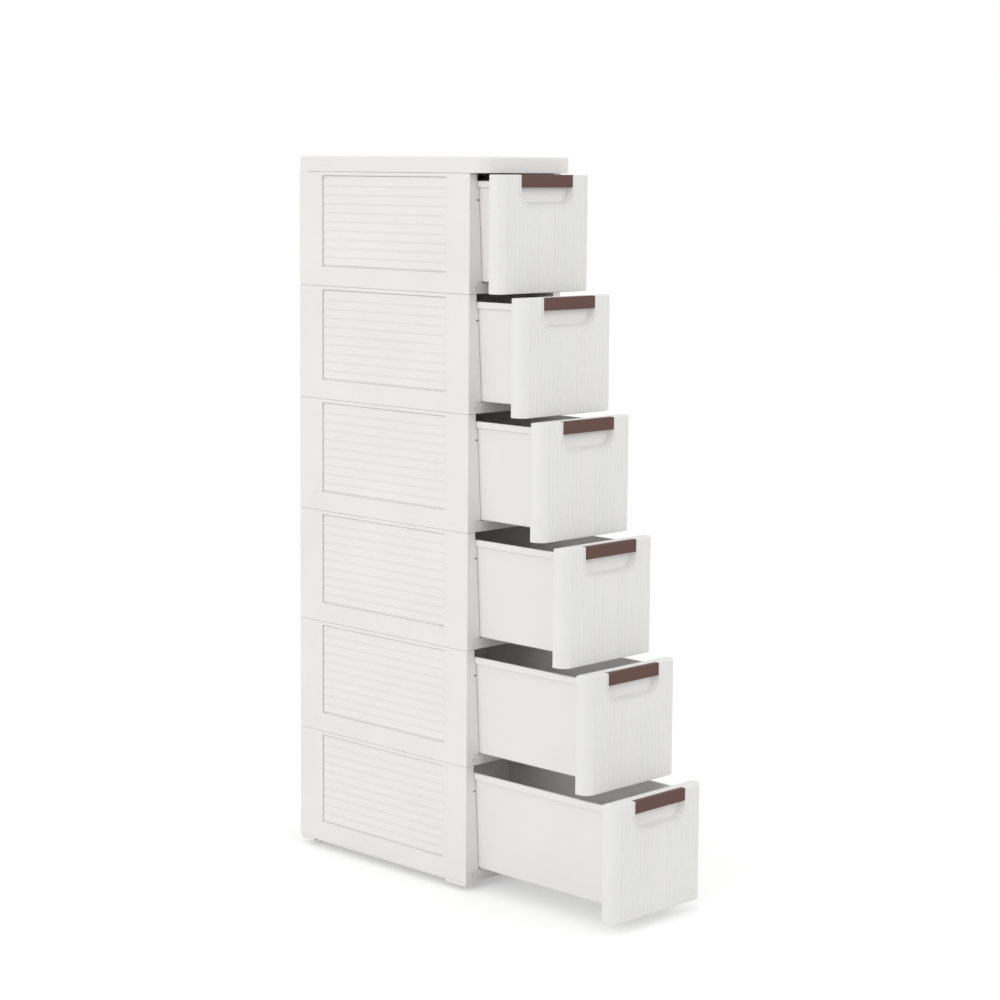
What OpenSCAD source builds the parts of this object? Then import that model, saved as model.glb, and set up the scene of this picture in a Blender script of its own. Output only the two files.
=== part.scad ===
// Slim plastic drawer tower: six stacked tiers on four fixed castors, one drawer in each tier.
// X runs across the tower, Y from the drawer fronts to the back, Z up from the floor.
// The origin is on the floor, under the middle of the tower with its drawers pulled out as set below.

/* [Tower] */
// Height of one tier, from seam to seam
tier_h = 190; // [180:1:220]
// Width over the side panels
body_w = 210; // [190:1:260]
// Depth from the front posts to the back edge
body_d = 407; // [385:1:450]
// Height of a shelf with its skirt
divider_h = 17.5; // [16.5:0.5:22]
// Height of the plinth strip under the side panels
plinth_h = 2.5; // [2:0.5:6]
// Amount by which the lid and the drawer fronts stand out past the side panels
edge_over = 0.5; // [0:0.5:4]
// Wall of the plain mouldings
wall = 2.5; // [2:0.1:3]

/* [Lid] */
// Height of the lid
lid_h = 26; // [22:1:40]
// Wall of the lid
lid_wall = 3; // [2.5:0.1:3.5]
// How far the lid reaches past the closed drawers
lid_hood = 1; // [0.5:0.5:12]
// Radius of the two front corners
lid_r = 22; // [12:1:30]
// Radius of the two back corners
lid_back_r = 5; // [4:0.5:12]
// Radius of the lid's top edge
lid_edge = 3; // [1:0.5:4]
// Depth of the ribs under the lid
lid_rib = 10; // [4:1:14]

/* [Side panels] */
// Thickness of a side panel
post_t = 17; // [15:0.5:19]
// Width of the front post, along the depth
post_front = 52; // [46:1:70]
// Width of the rear post, along the depth
post_rear = 58; // [50:1:70]
// Height of the rail above the louvres
rail_top = 6; // [4:1:10]
// Height of the rail below the louvres
rail_low = 31.8; // [26:0.2:36]
// Depth of the louvred recess
recess = 2.5; // [2:0.1:3.5]
// How far each slat's lower edge stands out of the recess floor
slat_out = 1.6; // [0.6:0.1:1.8]
// Slats in one panel
slats = 10; // [6:1:14]

/* [Runners] */
// Height of a runner
runner_h = 16.5; // [12:0.5:20]
// Gap between a runner and the side of a tub
runner_gap = 0.6; // [0.5:0.1:0.8]
// Distance from the front of the posts to the anti-tip guide
guide_set = 30; // [20:1:60]

/* [Drawers] */
// Thickness of a drawer front
front_t = 24; // [22:0.5:30]
// Gap between a drawer front and the seam above it
front_top_gap = 1.8; // [1:0.1:4]
// Gap between a drawer front and the seam below it
front_low_gap = 2.2; // [1:0.1:4]
// Radius of the front's upright corners
front_r = 18; // [12:0.5:20]
// Reeds across the flat of the front
reeds = 20; // [12:1:28]
// Depth of the grooves between the reeds
reed_deep = 0.45; // [0.2:0.05:0.8]
// Gap between a closed drawer's front and the posts
closed_gap = 2; // [1:0.5:5]
// Gap between a closed drawer's tub and the back panel
tub_back = 15; // [10:1:40]
// Gap between a tub's floor and the shelf under it
tub_gap = 1.2; // [1:0.1:4]
// Gap between a tub's side and the face of the cabinet round it
face_gap = 1; // [0.8:0.1:3]
// Gap between a tub's rim and the side panels
rim_side = 1.2; // [1:0.1:2]
// Distance from the seam down to the rim
rim_drop = 12; // [11:0.5:16]
// How much each side of a tub draws in towards its floor
tub_taper = 9; // [4:0.5:14]
// Width of the rim around the tub
rim_w = 2.8; // [2.6:0.1:4]
// Height of the rim's turned-down edge
rim_h = 10; // [6:0.5:12]
// Wall of the tub
tub_t = 2.2; // [1.6:0.1:3]
// Radius along the tub's bottom edges
tub_r = 3; // [2:0.5:8]

/* [Finger pull] */
// Width of the cut-out and the grip
pull_w = 118; // [80:1:150]
// Height of the cut-out, from the front's top edge
pull_h = 48; // [40:1:70]
// Radius of its lower corners
pull_r = 22; // [12:1:30]
// Depth of the pocket
pull_deep = 10; // [9:0.5:17]
// How much the pocket narrows towards its back
pull_slope = 5; // [3:0.5:10]
// Width of the bead round the cut-out
lip_w = 2.2; // [1:0.1:4]
// Height of that bead
lip_out = 0.5; // [0.2:0.1:1]
// Height of the brown grip
grip_h = 20; // [14:0.5:24]
// Thickness of the grip
grip_t = 3; // [2.5:0.1:4]
// Depth of the grip's top return
grip_deep = 8; // [7:0.5:11]

/* [Pulled out by] */
// Drawer 1, the top one
open_1 = 44; // [2:0.5:300]
// Drawer 2
open_2 = 94.5; // [2:0.5:300]
// Drawer 3
open_3 = 138; // [2:0.5:300]
// Drawer 4
open_4 = 188; // [2:0.5:300]
// Drawer 5
open_5 = 238.5; // [2:0.5:300]
// Drawer 6, the bottom one
open_6 = 296; // [2:0.5:300]

/* [Castors] */
// Radius of a castor wheel
wheel_r = 13; // [12:0.5:13.5]
// Width of a castor wheel
wheel_w = 12; // [8:0.5:14]
// Radius of the axle
axle_r = 2; // [1.5:0.1:3]
// Distance from the side of the tower to the middle of a wheel
wheel_in = 31; // [30:0.5:40]
// Distance from the front of the posts to the front axles
axle_front = 34; // [24:1:60]
// Distance from the back to the rear axles
axle_rear = 26; // [22:1:60]
// Length of a castor housing
housing_l = 30; // [24:1:34]
// Gap between a wheel and the top of its housing
wheel_room = 1.5; // [1:0.1:3]

/* [Fits] */
// Gap at each seam between tiers
seam = 0.4; // [0.2:0.1:1]
// Side clearance of tongues and pegs
fit = 0.3; // [0.1:0.05:0.5]
// Clearance of the drawers in their runners
slide_fit = 0.4; // [0.3:0.1:1]
// Radial clearance of a wheel on its axle
axle_fit = 0.05; // [0.02:0.01:0.1]

/* [Hidden] */
$fn = 64;
// Overlap of faces that would only touch
eps = 0.01;
// Overlap of the blocks that make up one moulding
bite = 0.5;
// How far a cut runs past the surface
past = 1;
tiers = 6;
opens = [open_1, open_2, open_3, open_4, open_5, open_6];
half_w = body_w / 2;
inner_half = half_w - post_t;
over_half = half_w + edge_over;
// The castors carry the base plate, and the tiers stand on it
housing_top = 2 * wheel_r + wheel_room + wall;
base_z = housing_top + wall - divider_h;
floor_gap = base_z - plinth_h;
lid_z = base_z + tiers * tier_h;
front_h = tier_h - front_top_gap - front_low_gap;
lid_front = front_t + closed_gap + lid_hood;
face_y = -max(opens) - front_t - lip_out;
mid_y = (body_d + face_y) / 2;
// The louvred field of a side panel
win_l = body_d - post_front - post_rear;
win_h = tier_h - rail_top - rail_low;
skin_x = recess + wall;
slat_edge = 0.6;
// Grooves that hold the dividers and back panels by their edges
tongue = 1.8;
tongue_t = 3.4;
tongue_z = 8;
tongue_set = 2;
// Back panel: its skin, and the louvred field in it
back_in = 9;
back_y = body_d - back_in;
back_t = 3;
back_set = 2;
back_frame = 12;
back_field_h = win_h - 6;
// Shelves and the ribs under them
tray_set = 0.6;
rib_t = 2;
rib_h = 5;
ribs = 4;
// Drawer levels, measured down from the seam above the drawer
rim_low = rim_drop + rim_h;
tub_low = tier_h - divider_h - tub_gap;
tub_h = tub_low - rim_drop;
// Width and length of the tub, which follow the space inside the cabinet
rim_half = inner_half - rim_side;
tub_half = rim_half - rim_w;
tub_floor_half = tub_half - tub_taper;
tub_l = back_y + closed_gap - tub_back;
body_l = tub_l - rim_w;
// Runners stand in towards the tub's side
runner_in = rim_side + rim_w - runner_gap;
runner_end = 4;
// Slot in the edge of the cabinet's face
slot_w = 5;
slot_h = 2.6;
slot_drop = 42;
// Upright posts: one peg channel between two lightening channels
chan_x = 3;
chan_w = 8;
peg_l = 22;
peg_h = 12;
peg_y = [post_front / 2, body_d - post_rear / 2];
peg_x = half_w - chan_x - chan_w / 2;
peg_gap = 0.5;
// A peg reaches down as far as the guide that crosses its channel
peg_drop = rim_drop - slide_fit - wall - peg_gap;
peg_web = 2.6;
collar = 1.2;
collar_w = 1;
peg_socket_t = 2;
// Feet and plinth of the base
foot_h = 4;
foot_front = 47;
foot_rear = 32;
plinth_set = 4;
// Castor housings
wheel_x = half_w - wheel_in;
axle_y = [axle_front, body_d - axle_rear];
cheek_t = 2.4;
cheek_gap = 0.5;
cheek_r = 5;
seat_fit = 0.01;
cheek_x = wheel_w / 2 + cheek_gap;
housing_half = cheek_x + cheek_t;
socket_h = 5;
socket_t = 1.6;
head_r = 3.4;
head_t = 1.2;
// Castor wheels
tread_r = 2;
wheel_rim = 3.5;
wheel_sunk = 2;
hub_r = 5;
// Snap pegs between a tub and its front
snap_r = 3;
snap_l = 7;
snap_x = 50;
snap_z = [tub_low - 99, tub_low - 29];
snap_fit = 0.1;
snap_end = 1;
boss_t = 2.5;
// Pocket behind the cut-out
pocket_t = 2;
pocket_skin = 0.5;
// Ears that hook the grip behind the front's skin
ear_w = 5;
ear_h = 8;

white = [0.93, 0.93, 0.92];
brown = [0.42, 0.31, 0.29];
charcoal = [0.15, 0.15, 0.15];
grey = [0.62, 0.62, 0.61];
steel = [0.75, 0.75, 0.76];

// Height of the seam under tier k; seam 0 is the underside of the lid
function seam_z(k) = base_z + (tiers - k) * tier_h;

// Half the width of a tub's outside at height z, measured from the seam above the drawer
function tub_side(z) = tub_half + tub_taper * (z + rim_drop) / tub_h;

// A box given by its two corners
module block(low, high) {
    translate(low)
        cube(high - low);
}

// Extrudes an outline drawn in X and Z along Y, from y0 to y1
module along_y(y0, y1) {
    translate([0, y1, 0])
        rotate([90, 0, 0])
            linear_extrude(height = y1 - y0)
                children();
}

// Puts a piece in the tower's own frame
module placed() {
    translate([0, -mid_y, 0])
        children();
}

// Louvres over a field of the given length and height, standing out towards -X
module louvres(length, height) {
    pitch = height / slats;
    for (i = [0 : slats - 1])
        translate([0, 0, i * pitch])
            along_y(0, length)
                polygon([[bite, 0], [-slat_out, 0], [-slat_out, slat_edge], [0, pitch], [bite, pitch]]);
}

// ---- Side panels ----

// Channels that run the height of a post: a peg channel in its middle and one on each side
module post_channels(y0, y1) {
    mid = (y0 + y1) / 2;
    peg_half = peg_l / 2 + fit;
    for (span = [
        [y0 + chan_x, mid - peg_half - peg_web],
        [mid - peg_half, mid + peg_half],
        [mid + peg_half + peg_web, y1 - chan_x],
    ])
        block([chan_x, span[0], -past], [chan_x + chan_w, span[1], tier_h + past]);
}

// The runner under a drawer's rim and the guide above it
module runner() {
    shelf_z = tier_h - rim_low - slide_fit;
    guide_z = tier_h - rim_drop + slide_fit;
    end_y = back_y - runner_end;
    out_x = skin_x - bite;
    in_x = post_t + runner_in;
    y0 = wall - bite;
    block([out_x, y0, shelf_z - wall], [in_x, end_y, shelf_z]);
    block([post_t - wall, y0, shelf_z - runner_h], [post_t, end_y, shelf_z - eps]);
    block([out_x, y0, shelf_z - runner_h], [post_t, end_y, shelf_z - runner_h + wall]);
    block([out_x, guide_set, guide_z], [in_x, end_y, guide_z + wall]);
}

// The post's face reaches in beside the tub and follows its taper, from the shelf up to the runner
module front_face() {
    z0 = divider_h + seam;
    z1 = tier_h - rim_low - slide_fit - eps;
    slot_z = tier_h - slot_drop;
    slot_x = half_w - face_gap - tub_side(-slot_drop) - slot_w;
    difference() {
        along_y(0, wall)
            polygon([
                [post_t - bite, z0],
                [half_w - face_gap - tub_side(z0 - tier_h), z0],
                [half_w - face_gap - tub_side(z1 - tier_h), z1],
                [post_t - bite, z1],
            ]);
        block([max(slot_x, post_t - bite - eps), -past, slot_z - slot_h / 2],
              [half_w, wall + past, slot_z + slot_h / 2]);
    }
}

// The two posts and two rails round a louvred skin
module panel_frame() {
    win_y = post_front + win_l;
    win_z = rail_low + win_h;
    difference() {
        block([0, 0, seam / 2], [post_t, body_d, tier_h - seam / 2]);
        block([-past, post_front, rail_low], [recess, win_y, win_z]);
        block([skin_x, post_front, rail_low], [post_t + past, win_y, win_z]);
        block([chan_x, post_front, -past], [chan_x + chan_w, win_y, rail_low - wall]);
        post_channels(0, post_front);
        post_channels(body_d - post_rear, body_d);
    }
    translate([recess, post_front, rail_low])
        louvres(win_l, win_h);
}

module side_panel(k) {
    groove_x = post_t - tongue - fit;
    seat_y = peg_l / 2 + collar_w + fit;
    color(white)
        placed()
            translate([-half_w, 0, seam_z(k)])
                difference() {
                    union() {
                        panel_frame();
                        runner();
                        front_face();
                    }
                    // Groove for the divider's edge
                    block([groove_x, -past, tongue_z],
                          [post_t + past, back_y - fit, tongue_z + tongue_t + fit]);
                    // Groove for the back panel's edge
                    block([groove_x, back_y - fit, -past],
                          [post_t + past, back_y + back_t + fit, tier_h + past]);
                    // Seats of the pegs' collars
                    for (y = peg_y)
                        block([chan_x - collar_w - fit, y - seat_y, tier_h - seam / 2 - collar - fit],
                              [chan_x + chan_w + collar_w + fit, y + seat_y, tier_h + past]);
                }
}

module side_left(k) {
    side_panel(k);
}

module side_right(k) {
    mirror([1, 0, 0])
        side_panel(k);
}

// Pegs that locate each tier, and the lid, on the tier below
module corner_pegs() {
    half_x = chan_w / 2 - fit;
    collar_x = chan_w / 2 + collar_w;
    collar_y = peg_l / 2 + collar_w;
    color(grey)
        placed()
            for (k = [0 : tiers - 1], side = [-1, 1], y = peg_y)
                translate([side * peg_x, y, seam_z(k)]) {
                    block([-half_x, -peg_l / 2, -peg_drop], [half_x, peg_l / 2, peg_h - peg_gap]);
                    block([-collar_x, -collar_y, -seam / 2 - collar], [collar_x, collar_y, -seam / 2]);
                }
}

// ---- Back panels ----

module back_panel(k) {
    field_half = inner_half - back_frame;
    color(white)
        placed()
            translate([0, 0, seam_z(k)]) {
                block([-inner_half - tongue, back_y, seam / 2],
                      [inner_half + tongue, back_y + back_t, tier_h - seam / 2]);
                difference() {
                    block([-inner_half + fit, back_y + back_t - eps, seam / 2],
                          [inner_half - fit, body_d - back_set, tier_h - seam / 2]);
                    block([-field_half, back_y, rail_low], [field_half, body_d, rail_low + back_field_h]);
                }
                translate([field_half, back_y + back_t, rail_low])
                    rotate([0, 0, 90])
                        mirror([1, 0, 0])
                            louvres(2 * field_half, back_field_h);
            }
}

// ---- Dividers and base ----

// A plate with a skirt and ribs below it, between heights z0 and z1
module tray(z0, z1) {
    half = inner_half - fit;
    y0 = tray_set;
    y1 = back_y - fit;
    rib_z = z1 - wall - rib_h;
    difference() {
        block([-half, y0, z0], [half, y1, z1]);
        block([-half + wall, y0 + wall, z0 - past], [half - wall, y1 - wall, z1 - wall]);
    }
    for (i = [1 : ribs])
        translate([0, y0 + i * (y1 - y0) / (ribs + 1), 0])
            block([-half + bite, -rib_t / 2, rib_z], [half - bite, rib_t / 2, z1 - bite]);
    for (x = [-half / 3, half / 3])
        block([x - rib_t / 2, y0 + bite, rib_z], [x + rib_t / 2, y1 - bite, z1 - bite]);
}

// The edges that slide into the side panels' grooves
module tongues() {
    for (side = [0, 1])
        mirror([side, 0, 0])
            block([inner_half - fit - bite, tongue_set, tongue_z + fit],
                  [inner_half + tongue, back_y - 2 * fit, tongue_z + tongue_t]);
}

module divider(k) {
    color(white)
        placed()
            translate([0, 0, seam_z(k)]) {
                tray(seam, divider_h);
                tongues();
            }
}

// Walls under the base plate that hold the castor housings
module housing_socket() {
    in_x = housing_half + fit;
    in_y = housing_l / 2 + fit;
    difference() {
        block([-in_x - socket_t, -in_y - socket_t, -socket_h], [in_x + socket_t, in_y + socket_t, bite]);
        block([-in_x, -in_y, -socket_h - past], [in_x, in_y, 0]);
    }
}

// Clears the ribs out of a housing's socket
module socket_room() {
    in_x = housing_half + fit;
    in_y = housing_l / 2 + fit;
    block([-in_x, -in_y, -housing_top], [in_x, in_y, 0]);
}

module base_frame() {
    color(white)
        placed() {
            difference() {
                tray(floor_gap, base_z + divider_h);
                at_housings()
                    socket_room();
            }
            at_housings()
                housing_socket();
            translate([0, 0, base_z])
                tongues();
            for (side = [0, 1])
                mirror([side, 0, 0])
                    base_side();
        }
}

// Plinth strip, feet and pegs under the left side panel
module base_side() {
    strip_end = body_d - plinth_set;
    block([-half_w, 0, floor_gap], [-inner_half + fit + bite, strip_end, base_z]);
    for (span = [[0, foot_front], [strip_end - foot_rear, strip_end]])
        block([-half_w, span[0], floor_gap - foot_h], [-inner_half, span[1], floor_gap + eps]);
    for (y = peg_y)
        translate([-peg_x, y, base_z])
            block([-chan_w / 2 + fit, -peg_l / 2, -bite], [chan_w / 2 - fit, peg_l / 2, peg_h]);
}

// ---- Lid ----

// Profile with both upper corners rounded, from -half to half and up to top
module round_top(half, top, r) {
    translate([-half, 0])
        square([2 * half, top - r]);
    translate([-half + r, 0])
        square([2 * (half - r), top]);
    for (side = [-1, 1])
        translate([side * (half - r), top - r])
            circle(r = r);
}

// One upright corner of a slab: a disc with a rounded upper edge
module round_corner(r, top, edge) {
    rotate_extrude()
        intersection() {
            round_top(r, top, edge);
            square([r, top]);
        }
}

// The lid's solid, drawn in from its sides by inset: round corners and a rounded upper edge
module lid_slab(inset, top, edge) {
    half = over_half - inset;
    corner_r = lid_r - inset;
    back_r = lid_back_r - inset;
    y0 = -lid_front + inset;
    y1 = body_d - inset;
    mid = (y0 + y1) / 2;
    rotate([90, 0, 90])
        translate([mid, 0, -half + corner_r])
            linear_extrude(height = 2 * (half - corner_r))
                round_top((y1 - y0) / 2, top, edge);
    along_y(y0 + corner_r, y1 - back_r)
        round_top(half, top, edge);
    intersection() {
        rotate([90, 0, 90])
            translate([mid, 0, -half + back_r])
                linear_extrude(height = 2 * (half - back_r))
                    round_top((y1 - y0) / 2, top, edge);
        block([-half, mid, -past], [half, y1 + past, top + past]);
    }
    for (side = [-1, 1]) {
        translate([side * (half - corner_r), y0 + corner_r, 0])
            round_corner(corner_r, top, edge);
        translate([side * (half - back_r), y1 - back_r, 0])
            round_corner(back_r, top, edge);
    }
}

// Ribs under the lid's plate, whose underside is at ceiling
module lid_ribs(ceiling) {
    z0 = ceiling + bite - lid_rib;
    z1 = ceiling + bite;
    half = over_half - lid_wall + bite;
    for (i = [1 : ribs])
        translate([0, i * body_d / (ribs + 1), 0])
            block([-half, -rib_t / 2, z0], [half, rib_t / 2, z1]);
    for (x = [-over_half / 3, over_half / 3])
        block([x - rib_t / 2, -lid_front + lid_wall - bite, z0],
              [x + rib_t / 2, body_d - lid_wall + bite, z1]);
}

// A socket under the lid for one corner peg
module peg_socket(ceiling) {
    out_x = chan_w / 2 + peg_socket_t;
    out_y = peg_l / 2 + fit + peg_socket_t;
    difference() {
        block([-out_x, -out_y, 0], [out_x, out_y, ceiling + bite]);
        block([-chan_w / 2, -peg_l / 2 - fit, -past], [chan_w / 2, peg_l / 2 + fit, peg_h]);
    }
}

module top_panel() {
    top = lid_h - seam / 2;
    ceiling = top - lid_wall;
    inner_edge = 1;
    color(white)
        placed()
            translate([0, 0, lid_z + seam / 2]) {
                difference() {
                    lid_slab(0, top, lid_edge);
                    translate([0, 0, -past])
                        lid_slab(lid_wall, ceiling + past, inner_edge);
                }
                lid_ribs(ceiling);
                for (side = [-1, 1], y = peg_y)
                    translate([side * peg_x, y, 0])
                        peg_socket(ceiling);
            }
}

// ---- Drawers ----

// Puts a piece in drawer k: Y = 0 at the back of its front, Z = 0 at the seam above it
module in_drawer(k) {
    placed()
        translate([0, -opens[k - 1], seam_z(k - 1)])
            children();
}

// Places for the four snap pegs, on the back of the front
module at_snaps() {
    for (x = [-snap_x, snap_x], z = snap_z)
        translate([x, 0, -z])
            rotate([90, 0, 0])
                children();
}

// Points along a lower corner of the tub, in steps of 15 degrees from the floor up to the wall
function corner_arc(half, low, r, side) =
    [for (i = [0 : 6])
        let (a = side > 0 ? -90 + i * 15 : -180 + i * 15)
        [side * (half - r) + r * cos(a), low + r + r * sin(a)]];

// Cross-section of the tub drawn in by inset: tapering walls and round lower corners
module tub_section(inset, top) {
    low = -tub_low + inset;
    r = max(tub_r - inset, 1);
    low_half = tub_floor_half - inset;
    top_half = tub_side(top) - inset;
    polygon(concat(
        [[-top_half, top]],
        corner_arc(low_half, low, r, -1),
        corner_arc(low_half, low, r, 1),
        [[top_half, top]]));
}

// The rim round the tub, with its edge turned down
module tub_rim() {
    in_x = rim_half - tub_t;
    difference() {
        block([-rim_half, 0, -rim_low], [rim_half, tub_l, -rim_drop]);
        block([-in_x, -past, -rim_low - past], [in_x, tub_l - tub_t, -rim_drop - tub_t]);
    }
}

module drawer_tub(k) {
    color(white)
        in_drawer(k)
            difference() {
                union() {
                    along_y(0, body_l)
                        tub_section(0, -rim_drop);
                    tub_rim();
                    at_snaps()
                        translate([0, 0, -eps])
                            cylinder(r = snap_r, h = snap_l);
                }
                along_y(tub_t, body_l - tub_t)
                    tub_section(tub_t, past);
            }
}

// Plan of the front: flat back, round front corners and reeds across the flat
module front_plan(inset) {
    half = over_half - inset;
    r = max(front_r - inset, 1);
    flat_half = over_half - front_r;
    pitch = 2 * flat_half / reeds;
    reed_r = (pitch * pitch / 4 + reed_deep * reed_deep) / (2 * reed_deep);
    y0 = -front_t + inset;
    groove = inset > 0 ? 0 : reed_deep;
    translate([-half, y0 + r])
        square([2 * half, -y0 - r]);
    translate([-half + r, y0 + groove])
        square([2 * (half - r), r]);
    for (side = [-1, 1])
        translate([side * (half - r), y0 + r])
            intersection() {
                circle(r = r);
                translate([-r, -r])
                    square([2 * r, r + eps]);
            }
    if (inset == 0)
        for (i = [0 : reeds - 1])
            intersection() {
                translate([-flat_half + i * pitch, y0])
                    square([pitch, front_t / 2]);
                translate([-flat_half + (i + 0.5) * pitch, y0 + reed_r])
                    circle(r = reed_r, $fn = 200);
            }
}

// The front's shell, open at the back only where pieces pass through
module front_shell(top) {
    difference() {
        translate([0, 0, top - front_h])
            linear_extrude(height = front_h)
                front_plan(0);
        translate([0, 0, top - front_h + wall])
            linear_extrude(height = front_h - 2 * wall)
                front_plan(wall);
    }
}

// Outline of the cut-out in X and Z, grown by grow and drawn in by narrow, with round lower corners
module pull_outline(grow, narrow, top) {
    half = pull_w / 2 + grow - narrow;
    r = max(pull_r + grow - narrow / 2, 2);
    low = -front_top_gap - pull_h - grow + narrow;
    translate([-half, low + r])
        square([2 * half, top - low - r]);
    translate([-half + r, low])
        square([2 * (half - r), r + eps]);
    for (side = [-1, 1])
        translate([side * (half - r), low + r])
            circle(r = r, $fn = 48);
}

// The pocket as a solid, tapering from the front face to its back
module pull_pocket(grow, deep, top) {
    hull() {
        along_y(-front_t - eps, -front_t)
            pull_outline(grow, 0, top);
        along_y(-front_t + deep - eps, -front_t + deep)
            pull_outline(grow, pull_slope, top);
    }
}

// Room for the grip's bar and its ears
module grip_seat(top) {
    half = pull_w / 2;
    ear_half = half + ear_w + fit;
    skin_y = -front_t + wall;
    block([-half, -front_t - past, top - grip_h - eps],
          [half, -front_t + grip_deep + fit, top + past]);
    block([-ear_half, skin_y, top - wall - ear_h - fit],
          [ear_half, skin_y + grip_t + fit, top - wall]);
}

module drawer_front(k) {
    top = -front_top_gap;
    color(white)
        in_drawer(k)
            difference() {
                union() {
                    front_shell(top);
                    pull_pocket(pocket_t, pull_deep + pocket_t, top - wall / 2);
                    // Bead round the cut-out
                    along_y(-front_t - lip_out, -front_t + reed_deep + bite)
                        pull_outline(lip_w, 0, top);
                    at_snaps()
                        cylinder(r = snap_r + boss_t, h = front_t - wall / 2);
                }
                pull_pocket(0, pull_deep, top - grip_t);
                along_y(-front_t - lip_out - past, -front_t + pocket_skin)
                    pull_outline(0, 0, top + past);
                grip_seat(top);
                at_snaps()
                    translate([0, 0, -past])
                        cylinder(r = snap_r + snap_fit, h = past + snap_l + snap_end);
            }
}

module drawer_grip(k) {
    top = -front_top_gap;
    half = pull_w / 2 - fit / 2;
    skin_y = -front_t + wall;
    color(brown)
        in_drawer(k) {
            block([-half, -front_t - lip_out, top - grip_h], [half, -front_t + grip_t, top]);
            block([-half, -front_t, top - grip_t], [half, -front_t + grip_deep, top]);
            block([-half - ear_w, skin_y, top - wall - ear_h],
                  [half + ear_w, skin_y + grip_t, top - wall - fit]);
        }
}

// ---- Castors ----

// Puts a piece at each of the four axles, at height z
module at_castors(z) {
    for (side = [-1, 1], y = axle_y)
        translate([side * wheel_x, y, z])
            children();
}

module at_housings() {
    at_castors(housing_top)
        children();
}

// One cheek of a housing, standing on the inside of X = 0
module cheek() {
    translate([0, 0, wheel_r])
        rotate([0, 90, 0])
            cylinder(r = cheek_r, h = cheek_t);
    block([0, -cheek_r, wheel_r], [cheek_t, cheek_r, housing_top - bite]);
}

module castor_housings() {
    color(grey)
        placed()
            at_castors(0) {
                block([-housing_half, -housing_l / 2, housing_top - wall],
                      [housing_half, housing_l / 2, housing_top]);
                difference() {
                    for (x = [-housing_half, cheek_x])
                        translate([x, 0, 0])
                            cheek();
                    translate([-housing_half - past, 0, wheel_r])
                        rotate([0, 90, 0])
                            cylinder(r = axle_r + seat_fit, h = 2 * (housing_half + past));
                }
            }
}

module castor_axles() {
    color(steel)
        placed()
            at_castors(wheel_r)
                translate([-housing_half, 0, 0])
                    rotate([0, 90, 0]) {
                        cylinder(r = axle_r, h = 2 * housing_half);
                        for (z = [-head_t, 2 * housing_half])
                            translate([0, 0, z])
                                cylinder(r = head_r, h = head_t);
                    }
}

// Half of a wheel's section: tread with round edges, sunk sides, a hub and its bore
module wheel_section() {
    half = wheel_w / 2;
    difference() {
        union() {
            translate([0, -half])
                square([wheel_r - tread_r, wheel_w]);
            translate([0, -half + tread_r])
                square([wheel_r, wheel_w - 2 * tread_r]);
            for (z = [-1, 1])
                translate([wheel_r - tread_r, z * (half - tread_r)])
                    circle(r = tread_r);
        }
        translate([-past, -half - past])
            square([axle_r + axle_fit + past, wheel_w + 2 * past]);
        for (z = [-half - past, half - wheel_sunk])
            translate([hub_r, z])
                square([wheel_r - wheel_rim - hub_r, wheel_sunk + past]);
    }
}

module castor_wheel(side, y) {
    color(charcoal)
        placed()
            translate([side * wheel_x, y, wheel_r])
                rotate([0, 90, 0])
                    rotate_extrude()
                        wheel_section();
}

top_panel();
side_left(1);  // side_left_1
side_left(2);  // side_left_2
side_left(3);  // side_left_3
side_left(4);  // side_left_4
side_left(5);  // side_left_5
side_left(6);  // side_left_6
side_right(1);  // side_right_1
side_right(2);  // side_right_2
side_right(3);  // side_right_3
side_right(4);  // side_right_4
side_right(5);  // side_right_5
side_right(6);  // side_right_6
back_panel(1);  // back_panel_1
back_panel(2);  // back_panel_2
back_panel(3);  // back_panel_3
back_panel(4);  // back_panel_4
back_panel(5);  // back_panel_5
back_panel(6);  // back_panel_6
divider(1);  // divider_1
divider(2);  // divider_2
divider(3);  // divider_3
divider(4);  // divider_4
divider(5);  // divider_5
base_frame();
corner_pegs();
drawer_tub(1);  // drawer_tub_1
drawer_tub(2);  // drawer_tub_2
drawer_tub(3);  // drawer_tub_3
drawer_tub(4);  // drawer_tub_4
drawer_tub(5);  // drawer_tub_5
drawer_tub(6);  // drawer_tub_6
drawer_front(1);  // drawer_front_1
drawer_front(2);  // drawer_front_2
drawer_front(3);  // drawer_front_3
drawer_front(4);  // drawer_front_4
drawer_front(5);  // drawer_front_5
drawer_front(6);  // drawer_front_6
drawer_grip(1);  // drawer_grip_1
drawer_grip(2);  // drawer_grip_2
drawer_grip(3);  // drawer_grip_3
drawer_grip(4);  // drawer_grip_4
drawer_grip(5);  // drawer_grip_5
drawer_grip(6);  // drawer_grip_6
castor_housings();
castor_axles();
castor_wheel(-1, axle_y[0]);  // wheel_front_left
castor_wheel(1, axle_y[0]);  // wheel_front_right
castor_wheel(-1, axle_y[1]);  // wheel_rear_left
castor_wheel(1, axle_y[1]);  // wheel_rear_right
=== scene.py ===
import math

import bmesh
import bpy
from mathutils import Matrix, Vector


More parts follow.
